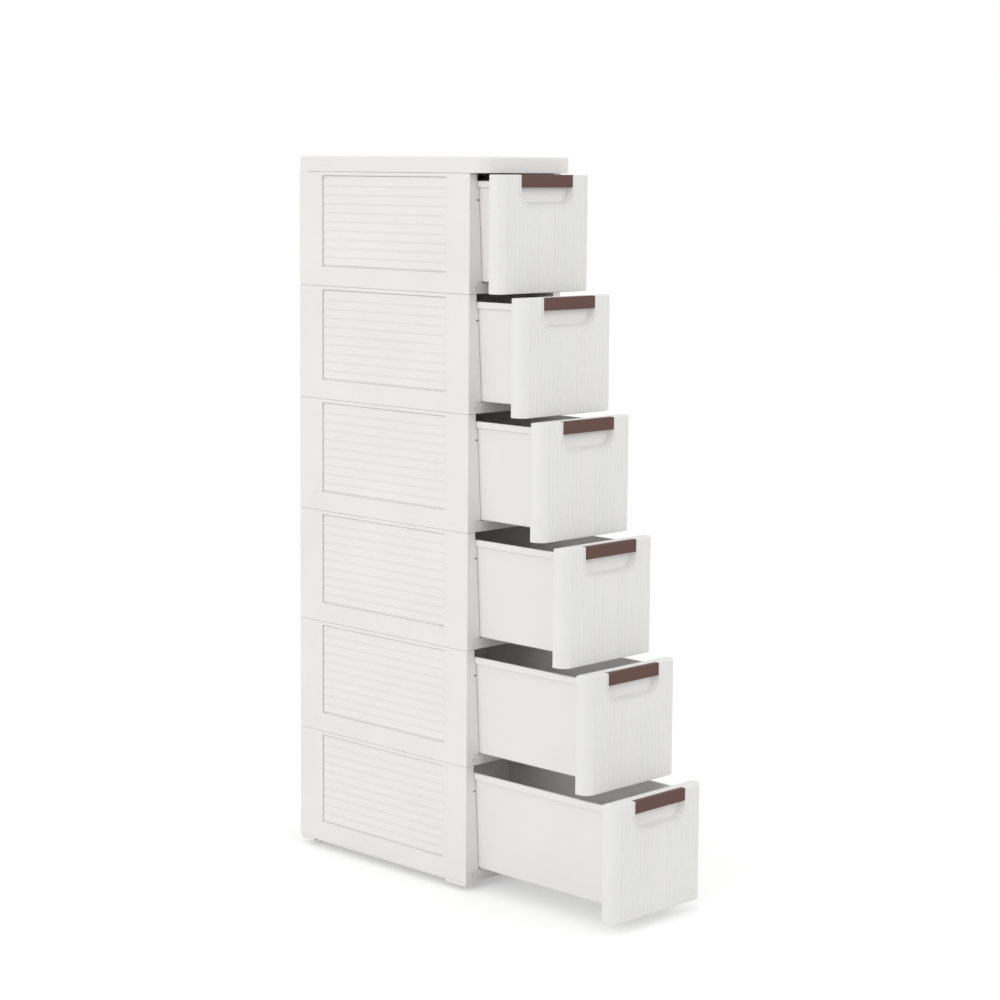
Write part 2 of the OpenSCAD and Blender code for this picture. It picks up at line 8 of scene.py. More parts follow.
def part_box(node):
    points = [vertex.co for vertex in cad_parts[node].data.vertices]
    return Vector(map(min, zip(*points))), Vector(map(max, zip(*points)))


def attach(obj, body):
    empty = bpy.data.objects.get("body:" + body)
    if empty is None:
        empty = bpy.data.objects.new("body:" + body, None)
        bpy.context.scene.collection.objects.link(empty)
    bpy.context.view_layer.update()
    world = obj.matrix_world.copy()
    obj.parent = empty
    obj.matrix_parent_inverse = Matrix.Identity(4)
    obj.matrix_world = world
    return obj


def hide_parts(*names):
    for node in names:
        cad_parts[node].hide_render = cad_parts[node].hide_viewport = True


bl_info = {
    "name": "Plastic drawer tower",
    "version": (1, 0, 0),
    "blender": (4, 5, 0),
    "location": "View3D > Sidebar > Tower",
    "description": "Models and finishes a slim tower of six stacked drawers on castors",
    "category": "Object",
}

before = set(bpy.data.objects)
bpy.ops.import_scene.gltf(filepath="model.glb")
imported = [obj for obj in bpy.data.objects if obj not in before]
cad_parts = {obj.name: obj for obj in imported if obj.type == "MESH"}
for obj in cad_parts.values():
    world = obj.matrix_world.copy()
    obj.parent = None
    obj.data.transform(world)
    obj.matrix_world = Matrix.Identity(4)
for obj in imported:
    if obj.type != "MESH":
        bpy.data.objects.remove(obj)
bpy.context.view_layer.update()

DRAWERS = range(1, 7)
WHEELS = ("front_left", "front_right", "rear_left", "rear_right")

# Lengths that no part of the tower shows, in metres
TINY = 1e-5           # closer than this is the same place
WELD = 2e-6           # corners closer than this become one
BITE = 0.0005         # how far fused pieces reach into each other
PAST = 0.001          # how far a cutter reaches past what it cuts
SHY = 0.0002          # what keeps two faces out of one plane
SOFT_EDGE = 0.0004    # rounding of the edges of runners, tubs and castor housings
FINE_EDGE = 0.0003    # rounding of the edges of wheels and axles

# Cosines of the angle to an axis: over the first a direction runs along it, under the second across
ALONG = 0.9
ACROSS = 0.1

# Measures of the back panel, in metres
BACK_DEPTH = 0.009    # from its front to the rear of the side panels
BACK_RAIL = 0.006     # how much higher its top rail is than the side panels'


# ---- The frame's own measures, in metres ----

def seam_under(k):
    """Height of the seam under tier k."""
    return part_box(f"side_left_{k}")[0].z - bpy.context.scene.tower_cabinet.seam / 2


def tier_height():
    return seam_under(1) - seam_under(2)


def post_face():
    """Where the front faces of the posts are."""
    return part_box("side_left_1")[0].y


def panel_depth():
    low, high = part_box("side_left_1")
    return high.y - low.y


def half_width():
    """Half the width over the side panels."""
    return -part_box("side_left_1")[0].x


def tub_half(drop):
    """Half the width of a tub's outside, at a depth below the seam above it."""
    sizes = bpy.context.scene.tower_drawer
    taper = sizes.tub_taper / sizes.tub_h
    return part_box("drawer_tub_1")[1].x - sizes.rim_w - taper * (drop - sizes.rim_drop)


def drawer_place(k):
    """The middle of the back of front k, at the height of the seam above the drawer."""
    return Vector((0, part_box(f"drawer_front_{k}")[1].y, seam_under(k) + tier_height()))


# ---- Sizes and colours ----

def length(name, description, default):
    return bpy.props.FloatProperty(
        name=name, description=description, default=default, min=0, unit="LENGTH", precision=4)


def count(name, description, default):
    return bpy.props.IntProperty(name=name, description=description, default=default, min=1)


def amount(name, description, default):
    return bpy.props.FloatProperty(name=name, description=description, default=default)


def degrees(name, description, default):
    return bpy.props.FloatProperty(
        name=name, description=description, default=math.radians(default), subtype="ANGLE")


def direction(name, description, default):
    return bpy.props.FloatVectorProperty(
        name=name, description=description, default=default, size=3, subtype="DIRECTION")


def colour(name, description, default):
    return bpy.props.FloatVectorProperty(
        name=name, description=description, default=default, size=3, min=0, max=1,
        subtype="COLOR")


class TowerCabinet(bpy.types.PropertyGroup):
    seam: length("Seam", "Gap between two tiers", 0.0004)
    wall: length("Wall", "Wall of the plain mouldings", 0.0025)
    post_t: length("Panel thickness", "Thickness of a side panel", 0.017)
    post_front: length("Front post", "Width of the front post", 0.052)
    post_rear: length("Rear post", "Width of the rear post", 0.058)
    rail_top: length("Top rail", "Height of the rail above the louvres", 0.006)
    rail_low: length("Low rail", "Height of the rail below the louvres", 0.0318)
    recess: length("Recess", "Depth of the louvred recess", 0.0025)
    slats: count("Slats", "Slats in one panel", 10)
    slat_out: length("Slat lip", "How far a slat's lower edge stands out", 0.0012)
    slat_edge: length("Slat edge", "Height of a slat's lower edge", 0.0006)
    slat_undercut: length("Undercut", "Height of the slope under a slat's lip", 0.0034)
    groove: length("Groove", "Width of the groove between the louvres and their frame", 0.0013)
    groove_low: length("Low groove", "Width of that groove below the louvres", 0.0032)
    groove_deep: length("Groove depth", "Depth of that groove below the recess", 0.0018)
    edge: length("Edge", "Rounding of the mouldings' edges", 0.0003)
    corner: length("Corner", "Radius of the side panels' upright corners", 0.0011)
    back_frame: length("Back frame", "Width of the frame round the back's louvres", 0.012)
    back_skin: length("Back skin", "Thickness of the back's skin", 0.003)
    tongue: length("Tongue", "How far the back's edges reach into the side panels", 0.0018)
    tongue_t: length("Shelf groove", "Height of the grooves for the shelves", 0.0037)
    tongue_z: length("Shelf groove height", "Height of those grooves above the seam", 0.008)
    fit: length("Fit", "Side clearance of tongues and pegs", 0.0003)
    chan_x: length("Channel set", "How far a post's channels stay inside its outer face", 0.003)
    chan_w: length("Channel width", "Width of a post's channels", 0.008)
    peg_l: length("Peg channel", "Length of the channel in a post's middle", 0.0226)
    peg_web: length("Web", "Web between two channels of a post", 0.0026)
    face_low: length("Face", "Height of the post's face beside a tub, above the seam", 0.0179)
    face_gap: length("Face gap", "Gap between that face and the tub", 0.001)
    slot_w: length("Slot", "Length of the slot in the face's edge", 0.005)
    slot_h: length("Slot height", "Height of that slot", 0.0026)
    slot_drop: length("Slot drop", "From the seam above down to the slot", 0.042)


class TowerRunner(bpy.types.PropertyGroup):
    height: length("Height", "Height of a runner", 0.0165)
    reach: length("Reach", "How far a runner stands in from the post", 0.0034)
    set_back: length("Set back", "From the front of the posts to the runner's end", 0.002)
    guide_back: length("Guide", "From the front of the posts to the anti-tip guide", 0.030)
    end: length("End", "How far runners stop short of the back panel", 0.004)
    below: length("Below seam", "From the seam down to the runner's top", 0.0224)
    guide_below: length("Guide below seam", "From the seam down to the guide's underside", 0.0116)


class TowerLid(bpy.types.PropertyGroup):
    corner: length("Front corners", "Radius of the front corners", 0.022)
    back_corner: length("Back corners", "Radius of the back corners", 0.005)
    edge: length("Top edge", "Radius of the top edge", 0.003)
    low_edge: length("Low edge", "Rounding of the lid's lower edges", 0.0005)
    wall: length("Wall", "Wall of the lid", 0.003)
    rib: length("Ribs", "Depth of the ribs under the lid", 0.010)
    rib_t: length("Rib thickness", "Thickness of those ribs", 0.002)
    ribs: count("Cross ribs", "Ribs across the lid", 4)


class TowerDrawer(bpy.types.PropertyGroup):
    front_t: length("Front", "Thickness of a drawer front", 0.024)
    front_top_gap: length("Top gap", "Gap between a front and the seam above", 0.0018)
    front_r: length("Front corners", "Radius of a front's upright corners", 0.018)
    front_edge: length("Front edge", "Rounding of a front's top and bottom edges", 0.0012)
    reeds: count("Reeds", "Reeds across the flat of a front", 20)
    reed_cuts: count("Cuts", "Strips that one reed is bowed with", 6)
    reed_deep: length("Reed depth", "Depth of the grooves between the reeds", 0.0011)
    rim_drop: length("Rim drop", "From the seam down to the rim", 0.012)
    tub_h: length("Tub height", "Height of a tub", 0.1593)
    tub_taper: length("Taper", "How much each side draws in towards the floor", 0.009)
    tub_r: length("Floor edges", "Radius along the tub's bottom edges", 0.003)
    tub_t: length("Tub wall", "Wall of a tub", 0.0022)
    rim_w: length("Rim width", "How far the rim stands out past the tub", 0.0028)
    rim_h: length("Rim height", "Height of the rim's turned-down edge", 0.010)
    rim_edge: length("Rim edge", "Rounding of the rim's outer edge", 0.0014)


class TowerPull(bpy.types.PropertyGroup):
    width: length("Width", "Width of the cut-out", 0.118)
    height: length("Height", "Height of the cut-out from the front's top", 0.048)
    radius: length("Radius", "Radius of its lower corners", 0.022)
    deep: length("Depth", "Depth of the pocket", 0.010)
    slope: length("Slope", "How much the pocket narrows towards its back", 0.005)
    floor_edge: length("Floor edge", "Rounding where the slope meets the pocket's back", 0.0010)
    lip_w: length("Bead width", "Width of the bead round the cut-out", 0.0022)
    lip_out: length("Bead height", "Height of that bead", 0.0005)
    lip_root: length("Bead root", "How far that bead's root reaches into the front", 0.0012)
    lip_drop: length("Bead drop", "From the front's top down to the bead's ends", 0.0004)
    grip_h: length("Grip height", "Height of the brown grip", 0.020)
    grip_t: length("Grip thickness", "Thickness of the grip", 0.003)
    grip_deep: length("Grip return", "Depth of the grip's top return", 0.008)
    grip_edge: length("Grip edge", "Rounding of the grip's edges", 0.0007)
    grip_gap: length("Grip gap", "Gap behind the grip's return, and at both ends together", 0.0003)


class TowerCastor(bpy.types.PropertyGroup):
    tread: length("Tread edge", "Radius of the tread's edges", 0.002)
    rim: length("Rim", "Width of the rim round a wheel's sunk sides", 0.0035)
    sunk: length("Sunk", "Depth of the sunk sides", 0.002)
    hub: length("Hub", "Radius of the hub", 0.005)
    bore: length("Bore", "Radius of the bore", 0.00205)


class TowerColours(bpy.types.PropertyGroup):
    white: colour("White", "Cabinet and lid", (0.862, 0.853, 0.838))
    front: colour("Front white", "Drawer fronts", (0.858, 0.855, 0.840))
    tub: colour("Tub white", "Tubs", (0.858, 0.850, 0.835))
    brown: colour("Brown", "Grips", (0.113, 0.045, 0.033))
    grey: colour("Grey", "Castor housings and pegs", (0.420, 0.420, 0.415))
    tyre: colour("Tyre", "Castor wheels", (0.045, 0.045, 0.045))
    steel: colour("Steel", "Axles", (0.600, 0.600, 0.610))


class TowerStage(bpy.types.PropertyGroup):
    place: bpy.props.FloatVectorProperty(
        name="Camera", description="Where the camera stands", size=3, subtype="TRANSLATION",
        default=(-2.75142, -2.71419, 1.16628), unit="LENGTH")
    yaw: degrees("Yaw", "Turn of the view from +Y towards +X", 45.5)
    pitch: degrees("Pitch", "How far the view looks down", 6.06)
    roll: degrees("Roll", "Tilt of the view about its own axis", 0.41)
    lens: amount("Lens", "Focal length on a sensor 36 mm wide", 86.10)
    shift: amount("Shift", "Upward shift of the lens", -0.08)
    ambient: amount("Ambient", "Level of the light from all around", 0.84)
    key: amount("Left light", "Strength of the soft light from the left", 0.685)
    key_from: direction("Left light's side", "Where that light comes from", (-1, -0.05, 0.35))
    fill: amount("Front light", "Strength of the soft light from the front right", 0.47)
    fill_from: direction("Front light's side", "Where that light comes from", (0.7, -0.8, 0.45))
    spread: degrees("Light spread", "How wide each light looks from the tower", 40)
    floor_size: length("Floor size", "Length of the floor's sides", 40)
    floor_tone: amount("Floor tone", "How much light the floor gives back", 0.72)
    floor_lift: amount("Floor lift", "What the camera sees added to the floor, to whiten it", 0.38)


GROUPS = (TowerCabinet, TowerRunner, TowerLid, TowerDrawer, TowerPull, TowerCastor,
          TowerColours, TowerStage)


# ---- Modelling by hand ----

def deselect():
    if bpy.context.mode != "OBJECT":
        bpy.ops.object.mode_set(mode="OBJECT")
    bpy.ops.object.select_all(action="DESELECT")


def take(piece):
    """Makes a piece the one that is selected and active."""
    deselect()
    piece.select_set(True)
    bpy.context.view_layer.objects.active = piece


def settle(piece):
    """Puts a piece's place, turn and size into its mesh."""
    take(piece)
    bpy.ops.object.transform_apply(location=True, rotation=True, scale=True)


def settled(name):
    """Names the piece that was added last, and settles it."""
    piece = bpy.context.active_object
    piece.name = name
    settle(piece)
    return piece


def block(name, low, high):
    """Adds a cube between two corners."""
    low, high = Vector(low), Vector(high)
    deselect()
    bpy.ops.mesh.primitive_cube_add(size=1, location=(low + high) / 2, scale=high - low)
    return settled(name)


def rod(name, middle, radius, depth, sides=64):
    """Adds a cylinder that lies along X."""
    deselect()
    bpy.ops.mesh.primitive_cylinder_add(
        vertices=sides, radius=radius, depth=depth, location=middle,
        rotation=(0, math.pi / 2, 0))
    return settled(name)


def edit(piece):
    take(piece)
    bpy.ops.object.mode_set(mode="EDIT")
    bpy.ops.mesh.select_mode(type="VERT")
    bpy.ops.mesh.select_all(action="SELECT")


def done():
    bpy.ops.object.mode_set(mode="OBJECT")


def choose(piece, kind, test):
    """Selects the vertices, edges or faces that pass a test of their middle and direction."""
    bpy.ops.mesh.select_mode(type=kind)
    bpy.ops.mesh.select_all(action="DESELECT")
    mesh = bmesh.from_edit_mesh(piece.data)
    if kind == "VERT":
        parts = [(v, v.co, v.normal) for v in mesh.verts]
    elif kind == "EDGE":
        parts = [(e, (e.verts[0].co + e.verts[1].co) / 2,
                  (e.verts[1].co - e.verts[0].co).normalized()) for e in mesh.edges]
    else:
        parts = [(f, f.calc_center_median(), f.normal) for f in mesh.faces]
    found = 0
    for part, middle, way in parts:
        if test(middle, way):
            part.select_set(True)
            found += 1
    mesh.select_flush_mode()
    bmesh.update_edit_mesh(piece.data)
    if not found:
        raise RuntimeError(f"nothing to select on {piece.name}")


def cut(place, normal):
    """Cuts the whole mesh in edit mode along a plane."""
    bpy.ops.mesh.select_all(action="SELECT")
    bpy.ops.mesh.bisect(plane_co=place, plane_no=normal)


def round_edges(piece, radius, segments, test):
    """Rounds the edges that pass a test, in edit mode."""
    choose(piece, "EDGE", test)
    bpy.ops.mesh.bevel(offset=radius, offset_type="OFFSET", segments=segments,
                       profile=0.5, affect="EDGES")


def round_rim(piece, radius, segments, test):
    """Rounds the edges round the faces that pass a test, in edit mode."""
    choose(piece, "FACE", test)
    bpy.ops.mesh.region_to_loop()
    bpy.ops.mesh.bevel(offset=radius, segments=segments, profile=0.5, affect="EDGES")


def join_flats():
    """Joins all faces that lie in one plane, in edit mode."""
    bpy.ops.mesh.select_all(action="SELECT")
    bpy.ops.mesh.dissolve_limited(angle_limit=math.radians(1))


def push(offset):
    """Extrudes the selected faces by an offset."""
    bpy.ops.mesh.extrude_region_move(TRANSFORM_OT_translate={"value": offset})


def apply_modifier(piece, kind, **values):
    take(piece)
    modifier = piece.modifiers.new(kind.lower(), kind)
    for name, value in values.items():
        setattr(modifier, name, value)
    bpy.ops.object.modifier_apply(modifier=modifier.name)


def soften(piece, radius, segments=2, angle=30):
    """Rounds every edge that is sharper than an angle, in degrees."""
    apply_modifier(piece, "BEVEL", width=radius, segments=segments,
                   limit_method="ANGLE", angle_limit=math.radians(angle),
                   use_clamp_overlap=True, miter_outer="MITER_ARC")


def combine(piece, other, operation):
    apply_modifier(piece, "BOOLEAN", operation=operation, object=other, solver="EXACT")
    bpy.data.objects.remove(other)


def fuse(piece, *others):
    for other in others:
        combine(piece, other, "UNION")


def carve(piece, *others):
    for other in others:
        combine(piece, other, "DIFFERENCE")


def clean(piece):
    """Dissolves edges and faces too small to matter, which cuts can leave."""
    edit(piece)
    bpy.ops.mesh.dissolve_degenerate(threshold=TINY)
    done()


def shade(piece, angle):
    """Smooth shading except at edges sharper than an angle, with large faces kept flat."""
    take(piece)
    bpy.ops.object.shade_smooth_by_angle(angle=math.radians(angle))
    apply_modifier(piece, "WEIGHTED_NORMAL", keep_sharp=True, weight=50)


def copy_of(master, name, place):
    """A copy with its own mesh, moved by place."""
    piece = master.copy()
    piece.data = master.data.copy()
    piece.name = name
    piece.data.name = name
    bpy.context.scene.collection.objects.link(piece)
    piece.location = place
    settle(piece)
    return piece


def mirrored(master, name):
    """A copy turned over to the other side of the tower."""
    piece = copy_of(master, name, (0, 0, 0))
    piece.scale = (-1, 1, 1)
    settle(piece)
    edit(piece)
    bpy.ops.mesh.flip_normals()
    done()
    return piece


def softened_node(solid, name, radius):
    """A copy of one of the frame's solids, with its triangles joined and its edges rounded."""
    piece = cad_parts[solid].copy()
    piece.data = piece.data.copy()
    piece.data.materials.clear()
    for key in list(piece.keys()):
        del piece[key]
    piece.parent = None
    piece.name = name
    piece.data.name = name
    bpy.context.scene.collection.objects.link(piece)
    edit(piece)
    bpy.ops.mesh.remove_doubles(threshold=WELD)
    bpy.ops.mesh.tris_convert_to_quads(face_threshold=math.radians(1),
                                       shape_threshold=math.pi)
    done()
    soften(piece, radius)
    return piece


def hand_over(piece, body, finish_name, slot, *nodes):
    """Gives a piece its finish and its body, and hides the frame's solids that it takes the place
    of.
    """
    piece.data.materials.clear()
    piece.data.materials.append(material(finish_name))
    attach(piece, body)
    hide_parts(*nodes)
    piece.select_set(False)


def one_per_drawer(master, name, finish_name, slot, solid):
    """Gives every drawer a copy of a master, which is then removed."""
    for k in DRAWERS:
        piece = copy_of(master, f"{name}_{k}", drawer_place(k))
        hand_over(piece, f"drawer_{k}", finish_name, slot, f"{solid}_{k}")
    bpy.data.objects.remove(master)


# ---- Finishes ----

def new_group(name, inputs, outputs):
    group = bpy.data.node_groups.new(name, "ShaderNodeTree")
    for label, kind, default in inputs:
        socket = group.interface.new_socket(label, in_out="INPUT", socket_type=kind)
        socket.default_value = default
    for label, kind in outputs:
        group.interface.new_socket(label, in_out="OUTPUT", socket_type=kind)
    return group


def node(tree, kind, place, **values):
    made = tree.nodes.new(kind)
    made.location = place
    for name, value in values.items():
        setattr(made, name, value)
    return made


def moulded_grain():
    """Fine grain of a textured mould: a height, a tone and a gloss mask over the surface."""
    if "moulded_grain" in bpy.data.node_groups:
        return bpy.data.node_groups["moulded_grain"]
    group = new_group(
        "moulded_grain",
        [("Vector", "NodeSocketVector", (0, 0, 0)),
         ("Grain size", "NodeSocketFloat", 0.0006),
         ("Drift size", "NodeSocketFloat", 0.12)],
        [("Height", "NodeSocketFloat"), ("Tone", "NodeSocketFloat"),
         ("Gloss", "NodeSocketFloat")])
    come = node(group, "NodeGroupInput", (-700, 0))
    go = node(group, "NodeGroupOutput", (500, 0))
    link = group.links.new
    noises = []
    for row, (size, detail, roughness) in enumerate((("Grain size", 2, 0.55),
                                                     ("Drift size", 3, 0.5))):
        one_by = node(group, "ShaderNodeMath", (-500, -160 * row), operation="DIVIDE")
        one_by.inputs[0].default_value = 1
        link(come.outputs[size], one_by.inputs[1])
        noise = node(group, "ShaderNodeTexNoise", (-250, 200 - 250 * row), noise_dimensions="3D")
        noise.inputs["Detail"].default_value = detail
        noise.inputs["Roughness"].default_value = roughness
        link(come.outputs["Vector"], noise.inputs["Vector"])
        link(one_by.outputs[0], noise.inputs["Scale"])
        noises.append(noise)
    fine, drift = noises
    link(fine.outputs["Fac"], go.inputs["Height"])
    spread = node(group, "ShaderNodeMapRange", (0, -50))
    spread.inputs["From Min"].default_value = 0.3
    spread.inputs["From Max"].default_value = 0.7
    link(drift.outputs["Fac"], spread.inputs["Value"])
    link(spread.outputs["Result"], go.inputs["Tone"])
    both = node(group, "ShaderNodeMath", (200, -200), operation="MULTIPLY_ADD")
    both.inputs[1].default_value = 0.4
    link(fine.outputs["Fac"], both.inputs[0])
    link(spread.outputs["Result"], both.inputs[2])
    link(both.outputs[0], go.inputs["Gloss"])
    return group


def plastic(name, tone, dark=0.965, rough=(0.42, 0.52), grain=0.0006, depth=0.00002,
            specular=0.4):
    """Satin moulded plastic with a fine grain, a slow drift of its tone and uneven gloss."""
    made = bpy.data.materials.new(name)
    made.use_nodes = True
    tree = made.node_tree
    shader = tree.nodes["Principled BSDF"]
    shader.inputs["Specular IOR Level"].default_value = specular
    made.diffuse_color = (*tone, 1)
    place = node(tree, "ShaderNodeTexCoord", (-900, 0))
    grained = node(tree, "ShaderNodeGroup", (-680, 0), node_tree=moulded_grain())
    grained.inputs["Grain size"].default_value = grain
    tree.links.new(place.outputs["Object"], grained.inputs["Vector"])
    blend = node(tree, "ShaderNodeMix", (-350, 200), data_type="RGBA")
    blend.inputs["A"].default_value = (*[c * dark for c in tone], 1)
    blend.inputs["B"].default_value = (*tone, 1)
    tree.links.new(grained.outputs["Tone"], blend.inputs["Factor"])
    tree.links.new(blend.outputs["Result"], shader.inputs["Base Color"])
    gloss = node(tree, "ShaderNodeMapRange", (-350, -50))
    gloss.inputs["To Min"].default_value = rough[0]
    gloss.inputs["To Max"].default_value = rough[1]
    tree.links.new(grained.outputs["Gloss"], gloss.inputs["Value"])
    tree.links.new(gloss.outputs["Result"], shader.inputs["Roughness"])
    bump = node(tree, "ShaderNodeBump", (-350, -300))
    bump.inputs["Distance"].default_value = depth
    bump.inputs["Strength"].default_value = 1
    tree.links.new(grained.outputs["Height"], bump.inputs["Height"])
    tree.links.new(bump.outputs["Normal"], shader.inputs["Normal"])
    return made


def zinc_steel(name, tone):
    """Zinc-plated steel: bright metal with a fine grain and uneven gloss."""
    made = plastic(name, tone, dark=0.85, rough=(0.22, 0.40), grain=0.0004, depth=0.00001)
    made.node_tree.nodes["Principled BSDF"].inputs["Metallic"].default_value = 1
    return made


def material(name):
    """The material of that name, made when it is first asked for."""
    if name in bpy.data.materials:
        return bpy.data.materials[name]
    tones = bpy.context.scene.tower_colours
    makers = {
        "satin_white": lambda n: plastic(n, tones.white),
        "reeded_white": lambda n: plastic(n, tones.front),
        "tub_white": lambda n: plastic(n, tones.tub, rough=(0.38, 0.50)),
        "grip_brown": lambda n: plastic(n, tones.brown, dark=0.88, rough=(0.40, 0.50),
                                        grain=0.0008, depth=0.00004),
        "castor_grey": lambda n: plastic(n, tones.grey, dark=0.92),
        "tyre_grey": lambda n: plastic(n, tones.tyre, dark=0.88, rough=(0.5, 0.65),
                                       grain=0.0008, depth=0.00004),
        "zinc_steel": lambda n: zinc_steel(n, tones.steel),
    }
    return makers[name](name)


# ---- Louvres, side panels and back panels ----

def louvre_plate(name, long, high):
    """Slats for a field along +Y, with a groove round them: the lips stand out towards -X."""
    cabinet = bpy.context.scene.tower_cabinet
    gap, low_gap = cabinet.groove, cabinet.groove_low
    pitch = (high - gap - low_gap) / cabinet.slats
    root = cabinet.groove_deep + BITE
    plate = block(name, (0, gap, 0), (root, long - gap, high - gap - low_gap))
    lips = []
    edit(plate)
    for i in range(cabinet.slats):
        lips += [i * pitch, i * pitch + cabinet.slat_edge]
        cut((0, 0, i * pitch + cabinet.slat_edge), (0, 0, 1))
        if i:
            cut((0, 0, i * pitch - cabinet.slat_undercut), (0, 0, 1))
            cut((0, 0, i * pitch), (0, 0, 1))
    choose(plate, "VERT", lambda spot, _: spot.x < TINY
           and any(abs(spot.z - z) < TINY for z in lips))
    bpy.ops.transform.translate(value=(-cabinet.slat_out, 0, 0))
    bpy.ops.mesh.select_all(action="SELECT")
    bpy.ops.transform.translate(value=(0, 0, low_gap))
    done()
    lip_edge = cabinet.slat_edge * 0.4
    soften(plate, lip_edge)
    return plate


def post_channels(y0, y1, tall):
    """Cutters for the three channels that run up inside a post."""
    cabinet = bpy.context.scene.tower_cabinet
    x0, x1 = cabinet.chan_x, cabinet.chan_x + cabinet.chan_w
    middle, half, web = (y0 + y1) / 2, cabinet.peg_l / 2, cabinet.peg_web
    spans = [(y0 + x0, middle - half - web), (middle - half, middle + half),
             (middle + half + web, y1 - x0)]
    return [block("channel", (x0, a, -PAST), (x1, b, tall + PAST)) for a, b in spans]


def runner_parts(tall, depth):
    """Shelf, web, foot and guide of one runner, in a panel's own frame."""
    cabinet = bpy.context.scene.tower_cabinet
    runner = bpy.context.scene.tower_runner
    root = cabinet.recess + cabinet.wall - BITE
    web_x = cabinet.post_t - cabinet.wall
    reach_x = cabinet.post_t + runner.reach
    shelf_z = tall - runner.below
    foot_z = shelf_z - runner.height
    guide_z = tall - runner.guide_below
    end_y = depth - BACK_DEPTH - runner.end
    start_y = runner.set_back
    parts = [
        block("shelf", (root, start_y, shelf_z - cabinet.wall), (reach_x, end_y, shelf_z)),
        block("web", (web_x, start_y + SHY, foot_z + SHY),
              (cabinet.post_t - SHY / 2, end_y - SHY, shelf_z - SHY)),
        block("foot", (root, start_y, foot_z), (cabinet.post_t, end_y, foot_z + cabinet.wall)),
        block("guide", (root, runner.guide_back, guide_z),
              (reach_x, end_y, guide_z + cabinet.wall)),
    ]
    for part in parts:
        if part.name.startswith(("shelf", "guide")):
            soften(part, SOFT_EDGE)
    return parts


def face_edge(drop):
    """Where the post's face ends beside the tub, from the panel's outside."""
    return half_width() - tub_half(drop) - bpy.context.scene.tower_cabinet.face_gap


def reach_beside_tub(panel, tall):
    """Draws the post's face in beside the tub, along the tub's taper, in edit mode."""
    cabinet = bpy.context.scene.tower_cabinet
    low, high = cabinet.face_low, tall - bpy.context.scene.tower_runner.below
    for place, normal in (((0, cabinet.wall, 0), (0, 1, 0)), ((0, 0, low), (0, 0, 1)),
                          ((0, 0, high), (0, 0, 1))):
        cut(place, normal)
    choose(panel, "FACE", lambda spot, normal: normal.x > ALONG
           and spot.y < cabinet.wall and low < spot.z < high)
    push((face_edge(tall - high) - cabinet.post_t, 0, 0))
    slant = (face_edge(tall - low) - face_edge(tall - high)) / (high - low)
    bpy.ops.mesh.select_mode(type="VERT")
    edge_heights = sorted({round(v.co.z, 7) for v in bmesh.from_edit_mesh(panel.data).verts
                           if v.select and v.co.z < high - TINY})
    for z in edge_heights:
        choose(panel, "VERT", lambda spot, _: spot.x > cabinet.post_t + TINY
               and abs(spot.z - z) < TINY)
        bpy.ops.transform.translate(value=(slant * (high - z), 0, 0))


def side_panel():
    """A left side panel in its own frame: outer face at X = 0, front at Y = 0, seam at Z = 0."""
    cabinet = bpy.context.scene.tower_cabinet
    tall, depth = tier_height(), panel_depth()
    half_seam, fit = cabinet.seam / 2, cabinet.fit
    y0, y1 = cabinet.post_front, depth - cabinet.post_rear
    z0, z1 = cabinet.rail_low, tall - cabinet.rail_top
    panel = block("side_panel", (0, 0, half_seam), (cabinet.post_t, depth, tall - half_seam))
    edit(panel)
    for y in (y0, y1):
        cut((0, y, 0), (0, 1, 0))
    for z in (z0, z1):
        cut((0, 0, z), (0, 0, 1))
    for side, offset in ((-1, cabinet.recess + cabinet.groove_deep),
                         (1, cabinet.recess + cabinet.wall - cabinet.post_t)):
        choose(panel, "FACE", lambda spot, normal: normal.x * side > ALONG
               and y0 < spot.y < y1 and z0 < spot.z < z1)
        push((offset, 0, 0))
    reach_beside_tub(panel, tall)
    join_flats()
    round_edges(panel, cabinet.corner, 5, lambda spot, along: abs(along.z) > ALONG
                and spot.x < TINY and (spot.y < TINY or spot.y > depth - TINY))
    done()
    soften(panel, cabinet.edge)
    slot_x, slot_z = face_edge(cabinet.slot_drop), tall - cabinet.slot_drop
    carve(panel, *post_channels(0, y0, tall), *post_channels(y1, depth, tall),
          block("slot", (slot_x - cabinet.slot_w, -PAST, slot_z - cabinet.slot_h / 2),
                (slot_x + 2 * PAST, cabinet.wall + SHY, slot_z + cabinet.slot_h / 2)))
    plate = louvre_plate("louvres", y1 - y0, z1 - z0)
    plate.location = (cabinet.recess, y0, z0)
    settle(plate)
    fuse(panel, plate, *runner_parts(tall, depth))
    groove_x = cabinet.post_t - cabinet.tongue - fit
    back_y = depth - BACK_DEPTH
    carve(panel,
          block("groove", (groove_x, -PAST, cabinet.tongue_z),
                (cabinet.post_t + PAST, back_y - fit, cabinet.tongue_z + cabinet.tongue_t)),
          block("groove", (groove_x, back_y - fit, -PAST),
                (cabinet.post_t + PAST, back_y + cabinet.back_skin + fit, tall + PAST)))
    return panel


class TOWER_OT_side_panels(bpy.types.Operator):
    """Models the louvred side panels, with their posts, rails and runners"""
    bl_idname = "tower.side_panels"
    bl_label = "Side panels"

    def execute(self, context):
        masters = {"left": side_panel()}
        masters["right"] = mirrored(masters["left"], "side_panel_right")
        for side, master in masters.items():
            shade(master, 20)
            x = -half_width() if side == "left" else half_width()
            for k in DRAWERS:
                piece = copy_of(master, f"louvred_side_{side}_{k}",
                                (x, post_face(), seam_under(k)))
                hand_over(piece, "cabinet", "satin_white", "white_plastic",
                          f"side_{side}_{k}")
            bpy.data.objects.remove(master)
        return {"FINISHED"}


